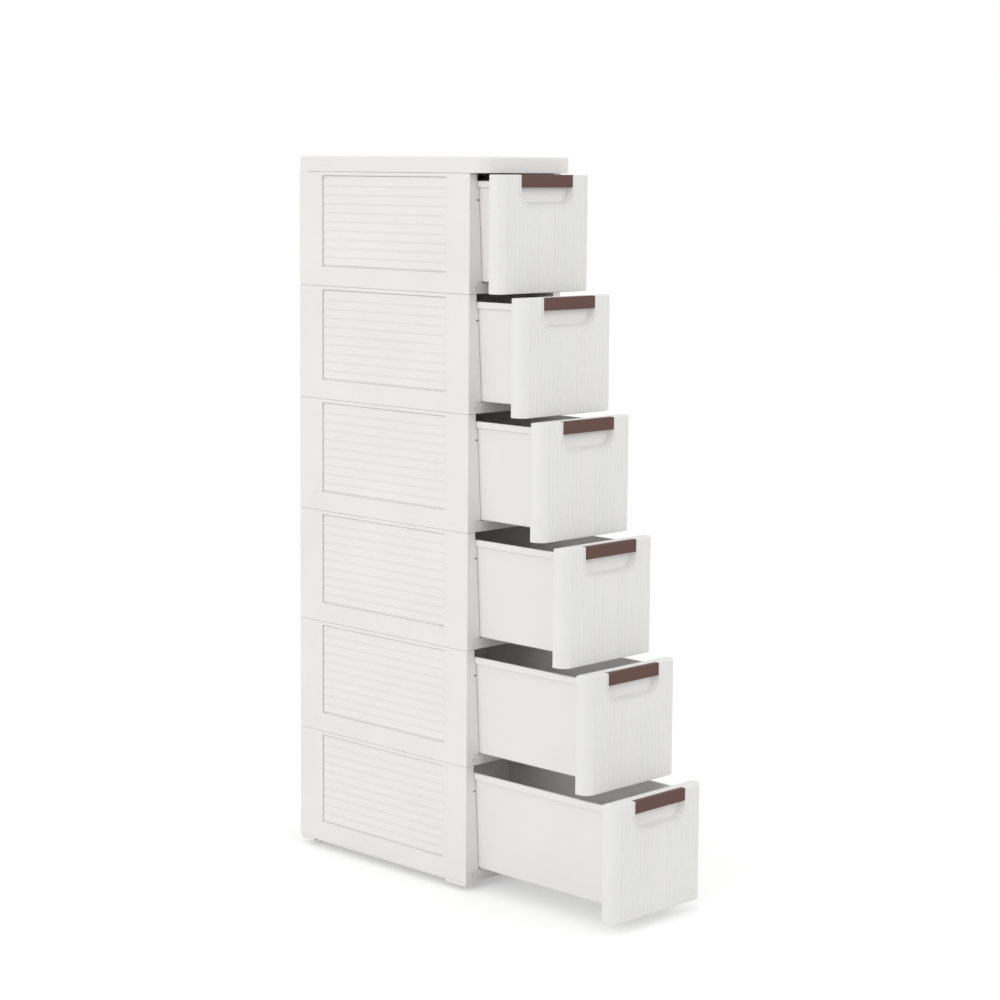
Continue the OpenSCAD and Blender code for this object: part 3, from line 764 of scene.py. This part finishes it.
def back_panel():
    """The back panel of tier 1, in place: a skin, a frame behind it and louvres in the frame."""
    cabinet = bpy.context.scene.tower_cabinet
    low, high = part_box("back_panel_1")
    frame_half = half_width() - cabinet.post_t - cabinet.fit
    field_half = half_width() - cabinet.post_t - cabinet.back_frame
    skin_y = low.y + cabinet.back_skin
    z0 = low.z - cabinet.seam / 2 + cabinet.rail_low
    z1 = z0 + tier_height() - cabinet.rail_top - cabinet.rail_low - BACK_RAIL
    panel = block("back_frame", (-frame_half, low.y + BITE, low.z), (frame_half, high.y, high.z))
    edit(panel)
    for x in (-field_half, field_half):
        cut((x, 0, 0), (1, 0, 0))
    for z in (z0, z1):
        cut((0, 0, z), (0, 0, 1))
    choose(panel, "FACE", lambda spot, normal: normal.y > ALONG
           and abs(spot.x) < field_half and z0 < spot.z < z1)
    push((0, skin_y - high.y, 0))
    join_flats()
    done()
    soften(panel, cabinet.edge)
    skin = block("back_skin", low, (high.x, skin_y, high.z))
    plate = louvre_plate("louvres", 2 * field_half, z1 - z0)
    plate.rotation_euler = (0, 0, -math.pi / 2)
    plate.location = (-field_half, skin_y, z0)
    settle(plate)
    fuse(panel, skin, plate)
    return panel


class TOWER_OT_back_panels(bpy.types.Operator):
    """Models the louvred panels that close the tiers at the back"""
    bl_idname = "tower.back_panels"
    bl_label = "Back panels"

    def execute(self, context):
        master = back_panel()
        shade(master, 20)
        for k in DRAWERS:
            piece = copy_of(master, f"louvred_back_{k}", (0, 0, seam_under(k) - seam_under(1)))
            hand_over(piece, "cabinet", "satin_white", "white_plastic", f"back_panel_{k}")
        bpy.data.objects.remove(master)
        return {"FINISHED"}


class TOWER_OT_shelves(bpy.types.Operator):
    """Models the shelves between the tiers, the base and the pegs"""
    bl_idname = "tower.shelves"
    bl_label = "Shelves and base"

    def execute(self, context):
        edge = context.scene.tower_cabinet.edge
        for k in DRAWERS[:-1]:
            piece = softened_node(f"divider_{k}", f"shelf_{k}", edge)
            shade(piece, 20)
            hand_over(piece, "cabinet", "satin_white", "white_plastic", f"divider_{k}")
        base = softened_node("base_frame", "base_tray", edge)
        shade(base, 20)
        hand_over(base, "cabinet", "satin_white", "white_plastic", "base_frame")
        pegs = softened_node("corner_pegs", "stacking_pegs", edge)
        hand_over(pegs, "cabinet", "castor_grey", "grey_plastic", "corner_pegs")
        return {"FINISHED"}


# ---- Lid ----

class TOWER_OT_lid(bpy.types.Operator):
    """Models the lid, with large front corners and ribs under its plate"""
    bl_idname = "tower.lid"
    bl_label = "Lid"

    def execute(self, context):
        sizes = context.scene.tower_lid
        low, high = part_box("top_panel")
        lid = block("lid_cover", low, high)
        edit(lid)
        for at_front, radius, segments in ((True, sizes.corner, 12),
                                           (False, sizes.back_corner, 6)):
            round_edges(lid, radius, segments, lambda spot, along: abs(along.z) > ALONG
                        and (spot.y < 0) == at_front)
        round_rim(lid, sizes.edge, 5, lambda spot, normal: normal.z > ALONG)
        choose(lid, "FACE", lambda spot, normal: normal.z < -ALONG)
        bpy.ops.mesh.inset(thickness=sizes.wall)
        push((0, 0, high.z - low.z - sizes.wall))
        done()
        soften(lid, sizes.low_edge, angle=60)
        ceiling = high.z - sizes.wall + BITE
        half = high.x - sizes.wall + BITE
        ribs = []
        for i in range(1, sizes.ribs + 1):
            y = post_face() + i * panel_depth() / (sizes.ribs + 1)
            ribs.append(block("rib", (-half, y - sizes.rib_t / 2, ceiling - sizes.rib),
                              (half, y + sizes.rib_t / 2, ceiling)))
        for x in (-high.x / 3, high.x / 3):
            ribs.append(block("rib", (x - sizes.rib_t / 2, low.y + sizes.wall - BITE,
                                      ceiling - sizes.rib + SHY),
                              (x + sizes.rib_t / 2, high.y - sizes.wall + BITE,
                               ceiling - SHY)))
        fuse(lid, *ribs)
        shade(lid, 20)
        hand_over(lid, "cabinet", "satin_white", "white_plastic", "top_panel")
        return {"FINISHED"}


# ---- Drawers: each master is made with Y = 0 at the back of the front, Z = 0 at the seam ----

def bow_reeds(front, face_y, flat_half):
    """Cuts the flat of a front into strips and bows them into reeds."""
    sizes = bpy.context.scene.tower_drawer
    cuts = sizes.reed_cuts
    strip = 2 * flat_half / (sizes.reeds * cuts)
    choose(front, "EDGE", lambda spot, along: abs(along.x) > ALONG and spot.y < face_y + TINY)
    bpy.ops.mesh.subdivide(number_cuts=sizes.reeds * cuts - 1)
    for step in range(cuts):
        across = 2 * step / cuts - 1
        choose(front, "VERT", lambda spot, _: spot.y < face_y + TINY
               and round((spot.x + flat_half) / strip) % cuts == step
               and abs(spot.x) < flat_half + TINY)
        bpy.ops.transform.translate(value=(0, sizes.reed_deep * across * across, 0))


def pull_block(name, y0, y1, grow, top):
    """The cut-out as a block with round lower corners, grown by grow."""
    pull, drawer = bpy.context.scene.tower_pull, bpy.context.scene.tower_drawer
    half = pull.width / 2 + grow
    low = -drawer.front_top_gap - pull.height - grow
    piece = block(name, (-half, y0, low), (half, y1, top))
    edit(piece)
    round_edges(piece, pull.radius + grow, 12, lambda spot, along: abs(along.y) > ALONG
                and spot.z < low + TINY)
    done()
    return piece


def pocket_cutter(face_y, top):
    """Cutter for the finger pocket: it narrows towards its back, with a soft inner edge."""
    pull = bpy.context.scene.tower_pull
    back_y = face_y + pull.deep
    ceiling = top - pull.grip_t
    cutter = pull_block("pocket", face_y - PAST, back_y, 0, ceiling)
    edit(cutter)
    cut((0, face_y, 0), (0, 1, 0))
    choose(cutter, "VERT", lambda spot, _: spot.y > back_y - TINY)
    half = pull.width / 2
    tall = pull.height - pull.grip_t
    bpy.ops.transform.resize(
        value=((half - pull.slope) / half, 1, (tall - pull.slope) / tall),
        center_override=(0, back_y, ceiling))
    round_edges(cutter, pull.floor_edge, 4, lambda spot, along: spot.y > back_y - TINY
                and spot.z < ceiling - TINY)
    done()
    return cutter


def drawer_front():
    """A reeded front with round upright corners, a beaded cut-out and its finger pocket."""
    sizes, pull = bpy.context.scene.tower_drawer, bpy.context.scene.tower_pull
    low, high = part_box("drawer_front_1")
    half, tall = high.x, high.z - low.z
    face_y, top = -sizes.front_t, -sizes.front_top_gap
    front = block("front", (-half, face_y, top - tall), (half, 0, top))
    edit(front)
    round_edges(front, sizes.front_r, 12, lambda spot, along: abs(along.z) > ALONG
                and spot.y < face_y + TINY)
    bow_reeds(front, face_y, half - sizes.front_r)
    for side in (-1, 1):
        round_rim(front, sizes.front_edge, 5, lambda spot, normal: normal.z * side > ALONG)
    done()
    bead = pull_block("bead", face_y - pull.lip_out, face_y + pull.lip_root, pull.lip_w,
                      top - pull.lip_drop)
    edit(bead)
    bead_edge = pull.lip_out * 0.9
    round_rim(bead, bead_edge, 4, lambda spot, normal: normal.y < -ALONG)
    done()
    fuse(front, bead)
    mouth = pull_block("mouth", face_y - 2 * PAST, face_y + BITE, 0, top + PAST)
    seat = block("seat", (-pull.width / 2, face_y - 2 * PAST - SHY / 2, top - pull.grip_h),
                 (pull.width / 2, face_y + pull.grip_deep + pull.grip_gap, top + PAST + SHY / 2))
    carve(front, mouth, pocket_cutter(face_y, top), seat)
    clean(front)
    return front


class TOWER_OT_fronts(bpy.types.Operator):
    """Models the reeded drawer fronts with their finger pockets"""
    bl_idname = "tower.fronts"
    bl_label = "Drawer fronts"

    def execute(self, context):
        master = drawer_front()
        shade(master, 21)
        one_per_drawer(master, "reeded_front", "reeded_white", "front_plastic", "drawer_front")
        return {"FINISHED"}


def grip_bar():
    """The brown grip: a bar with a return over the front's top edge."""
    sizes, pull = bpy.context.scene.tower_drawer, bpy.context.scene.tower_pull
    half = (pull.width - pull.grip_gap) / 2
    face_y, top = -sizes.front_t, -sizes.front_top_gap
    bar = block("grip", (-half, face_y - pull.lip_out, top - pull.grip_h),
                (half, face_y + pull.grip_t, top))
    edit(bar)
    cut((0, 0, top - pull.grip_t), (0, 0, 1))
    choose(bar, "FACE", lambda spot, normal: normal.y > ALONG and spot.z > top - pull.grip_t)
    push((0, pull.grip_deep - pull.grip_t, 0))
    done()
    soften(bar, pull.grip_edge, segments=4)
    return bar


class TOWER_OT_grips(bpy.types.Operator):
    """Models the brown grips in the heads of the cut-outs"""
    bl_idname = "tower.grips"
    bl_label = "Grips"

    def execute(self, context):
        master = grip_bar()
        shade(master, 30)
        one_per_drawer(master, "grip_bar", "grip_brown", "brown_plastic", "drawer_grip")
        return {"FINISHED"}


def tub():
    """A tub from its inner skin: the rim is turned out and down along its sides and back."""
    sizes = bpy.context.scene.tower_drawer
    rim_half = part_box("drawer_tub_1")[1].x
    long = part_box("drawer_tub_1")[1].y - drawer_place(1).y
    wall, top = sizes.tub_t, -sizes.rim_drop
    low, back_y = top - sizes.tub_h + wall, long - sizes.rim_w - wall
    top_half = tub_half(-top) - wall
    sheet = block("tub", (-top_half, wall, low), (top_half, back_y, top))
    edit(sheet)
    choose(sheet, "VERT", lambda spot, _: spot.z < low + TINY)
    bpy.ops.transform.resize(value=((tub_half(-low) - wall) / top_half, 1, 1),
                             center_override=(0, 0, low))
    round_edges(sheet, sizes.tub_r - wall, 6, lambda spot, along: abs(along.y) > ALONG
                and spot.z < low + TINY)
    choose(sheet, "FACE", lambda spot, normal: normal.z > ALONG)
    bpy.ops.mesh.delete(type="FACE")
    bpy.ops.mesh.select_all(action="SELECT")
    bpy.ops.mesh.flip_normals()
    choose(sheet, "EDGE", lambda spot, along: spot.z > top - TINY and abs(along.z) < ACROSS
           and spot.y > wall + TINY)
    bpy.ops.mesh.extrude_edges_move(TRANSFORM_OT_translate={"value": (0, 0, 0)})
    bpy.ops.transform.resize(value=(rim_half / top_half, long / (back_y - wall), 1),
                             center_override=(0, wall, top))
    choose(sheet, "VERT", lambda spot, _: abs(spot.x) > rim_half - TINY
           or spot.y > back_y + TINY)
    bpy.ops.transform.translate(value=(0, -wall, 0))
    choose(sheet, "EDGE", lambda spot, along: spot.z > top - TINY and abs(along.z) < ACROSS
           and (abs(spot.x) > rim_half - TINY or spot.y > long - TINY))
    bpy.ops.mesh.extrude_edges_move(TRANSFORM_OT_translate={"value": (0, 0, -sizes.rim_h)})
    round_edges(sheet, sizes.rim_edge, 4, lambda spot, along: spot.z > top - TINY
                and (abs(spot.x) > rim_half - TINY or spot.y > long - TINY))
    done()
    apply_modifier(sheet, "SOLIDIFY", thickness=wall, offset=-1, use_even_offset=True)
    soften(sheet, SOFT_EDGE, angle=50)
    return sheet


class TOWER_OT_tubs(bpy.types.Operator):
    """Models the drawers' tubs, with their rims turned out and down"""
    bl_idname = "tower.tubs"
    bl_label = "Tubs"

    def execute(self, context):
        master = tub()
        shade(master, 25)
        one_per_drawer(master, "tub_shell", "tub_white", "tub_plastic", "drawer_tub")
        return {"FINISHED"}


# ---- Castors ----

def castor_wheel():
    """A wheel about X = 0: round tread edges, sunk sides with a hub, and a bore."""
    sizes = bpy.context.scene.tower_castor
    low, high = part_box("wheel_front_left")
    half, radius = (high.x - low.x) / 2, (high.z - low.z) / 2
    wheel = rod("wheel", (0, 0, 0), radius, 2 * half)
    edit(wheel)
    round_rim(wheel, sizes.tread, 5, lambda spot, normal: abs(normal.x) > ALONG)
    flat = radius - sizes.tread
    for side in (-1, 1):
        choose(wheel, "FACE", lambda spot, normal: normal.x * side > ALONG
               and abs(spot.x) > half - TINY)
        bpy.ops.mesh.inset(thickness=sizes.rim - sizes.tread)
        bpy.ops.mesh.inset(thickness=flat - (sizes.rim - sizes.tread) - sizes.hub)
        choose(wheel, "FACE", lambda spot, normal: normal.x * side > ALONG
               and sizes.hub < math.hypot(spot.y, spot.z) < radius - sizes.rim)
        push((-side * sizes.sunk, 0, 0))
    done()
    soften(wheel, FINE_EDGE, angle=60)
    carve(wheel, rod("bore", (0, 0, 0), sizes.bore, 3 * half, sides=32))
    return wheel


class TOWER_OT_castors(bpy.types.Operator):
    """Models the castor wheels, their housings and their axles"""
    bl_idname = "tower.castors"
    bl_label = "Castors"

    def execute(self, context):
        master = castor_wheel()
        shade(master, 25)
        for where in WHEELS:
            low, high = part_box(f"wheel_{where}")
            piece = copy_of(master, f"tyre_{where}", (low + high) / 2)
            hand_over(piece, f"wheel_{where}", "tyre_grey", "wheel_plastic", f"wheel_{where}")
        bpy.data.objects.remove(master)
        housings = softened_node("castor_housings", "castor_forks", SOFT_EDGE)
        shade(housings, 25)
        hand_over(housings, "cabinet", "castor_grey", "grey_plastic", "castor_housings")
        axles = softened_node("castor_axles", "wheel_axles", FINE_EDGE)
        shade(axles, 25)
        hand_over(axles, "cabinet", "zinc_steel", "axle_steel", "castor_axles")
        return {"FINISHED"}


# ---- Stage ----

def cleared_tree(owner):
    """The empty node tree of a world or a material."""
    owner.use_nodes = True
    owner.node_tree.nodes.clear()
    return owner.node_tree


def white_for_camera(tree):
    """Light Path maths: 1 where the camera looks, also in gloss or glass, 0 for other light."""
    light = node(tree, "ShaderNodeLightPath", (-700, 0))
    most = light.outputs["Is Camera Ray"]
    for row, ray in enumerate(("Is Glossy Ray", "Is Transmission Ray")):
        either = node(tree, "ShaderNodeMath", (-400, -150 * row), operation="MAXIMUM")
        tree.links.new(most, either.inputs[0])
        tree.links.new(light.outputs[ray], either.inputs[1])
        most = either.outputs[0]
    return most


def pale_world(stage):
    """White where the camera looks, and a plain soft level for the light on the object."""
    world = bpy.data.worlds.new("soft_room")
    tree = cleared_tree(world)
    out = node(tree, "ShaderNodeOutputWorld", (600, 0))
    seen = node(tree, "ShaderNodeBackground", (0, -150))
    seen.inputs["Color"].default_value = (1, 1, 1, 1)
    given = node(tree, "ShaderNodeBackground", (0, 150))
    given.inputs["Color"].default_value = (1, 1, 1, 1)
    given.inputs["Strength"].default_value = stage.ambient
    mix = node(tree, "ShaderNodeMixShader", (300, 0))
    tree.links.new(white_for_camera(tree), mix.inputs[0])
    tree.links.new(given.outputs[0], mix.inputs[1])
    tree.links.new(seen.outputs[0], mix.inputs[2])
    tree.links.new(mix.outputs[0], out.inputs["Surface"])
    bpy.context.scene.world = world


def pale_floor(stage):
    """A white floor that keeps the tower's shadow."""
    deselect()
    bpy.ops.mesh.primitive_plane_add(size=stage.floor_size, location=(0, 0, 0))
    floor = bpy.context.active_object
    floor.name = "floor"
    made = bpy.data.materials.new("pale_floor")
    tree = cleared_tree(made)
    out = node(tree, "ShaderNodeOutputMaterial", (600, 0))
    paint = node(tree, "ShaderNodeBsdfDiffuse", (0, 150))
    paint.inputs["Color"].default_value = (*[stage.floor_tone] * 3, 1)
    glow = node(tree, "ShaderNodeEmission", (0, -150))
    level = node(tree, "ShaderNodeMath", (-200, -200), operation="MULTIPLY")
    level.inputs[1].default_value = stage.floor_lift
    tree.links.new(white_for_camera(tree), level.inputs[0])
    tree.links.new(level.outputs[0], glow.inputs["Strength"])
    both = node(tree, "ShaderNodeAddShader", (300, 0))
    tree.links.new(paint.outputs[0], both.inputs[0])
    tree.links.new(glow.outputs[0], both.inputs[1])
    tree.links.new(both.outputs[0], out.inputs["Surface"])
    floor.data.materials.append(made)


def soft_light(name, strength, side, spread):
    """A broad soft light from one side."""
    deselect()
    bpy.ops.object.light_add(type="SUN", location=[2 * step for step in side])
    lamp = bpy.context.active_object
    lamp.name = name
    lamp.data.energy = strength
    lamp.data.angle = spread
    lamp.rotation_euler = Vector(side).to_track_quat("Z", "Y").to_euler()


def photo_camera(stage):
    """The camera at the photograph's viewing angle."""
    deselect()
    bpy.ops.object.camera_add(location=stage.place)
    camera = bpy.context.active_object
    camera.name = "camera"
    camera.data.sensor_width = 36
    camera.data.lens = stage.lens
    camera.data.shift_y = stage.shift
    turn = (Matrix.Rotation(-stage.yaw, 4, "Z")
            @ Matrix.Rotation(math.pi / 2 - stage.pitch, 4, "X")
            @ Matrix.Rotation(stage.roll, 4, "Z"))
    camera.rotation_euler = turn.to_euler()
    bpy.context.scene.camera = camera


class TOWER_OT_stage(bpy.types.Operator):
    """Sets up the floor, the light and the camera"""
    bl_idname = "tower.stage"
    bl_label = "Stage"

    def execute(self, context):
        stage = context.scene.tower_stage
        pale_world(stage)
        pale_floor(stage)
        soft_light("left_light", stage.key, stage.key_from, stage.spread)
        soft_light("front_light", stage.fill, stage.fill_from, stage.spread)
        photo_camera(stage)
        context.scene.view_settings.view_transform = "Standard"
        return {"FINISHED"}


# ---- Add-on ----

OPERATORS = (TOWER_OT_stage, TOWER_OT_lid, TOWER_OT_side_panels, TOWER_OT_back_panels,
             TOWER_OT_shelves, TOWER_OT_fronts, TOWER_OT_grips, TOWER_OT_tubs,
             TOWER_OT_castors)


class TOWER_PT_panel(bpy.types.Panel):
    """Lists the steps that make the tower"""
    bl_idname = "TOWER_PT_panel"
    bl_label = "Drawer tower"
    bl_space_type = "VIEW_3D"
    bl_region_type = "UI"
    bl_category = "Tower"

    def draw(self, context):
        for step in OPERATORS:
            self.layout.operator(step.bl_idname)


def register():
    for group in GROUPS:
        bpy.utils.register_class(group)
        name = "tower_" + group.__name__[len("Tower"):].lower()
        setattr(bpy.types.Scene, name, bpy.props.PointerProperty(type=group))
    for step in OPERATORS:
        bpy.utils.register_class(step)
    bpy.utils.register_class(TOWER_PT_panel)


def unregister():
    bpy.utils.unregister_class(TOWER_PT_panel)
    for step in reversed(OPERATORS):
        bpy.utils.unregister_class(step)
    for group in reversed(GROUPS):
        delattr(bpy.types.Scene, "tower_" + group.__name__[len("Tower"):].lower())
        bpy.utils.unregister_class(group)


def main():
    register()
    for step in OPERATORS:
        category, name = step.bl_idname.split(".")
        getattr(getattr(bpy.ops, category), name)()


if __name__ == "__main__":
    main()
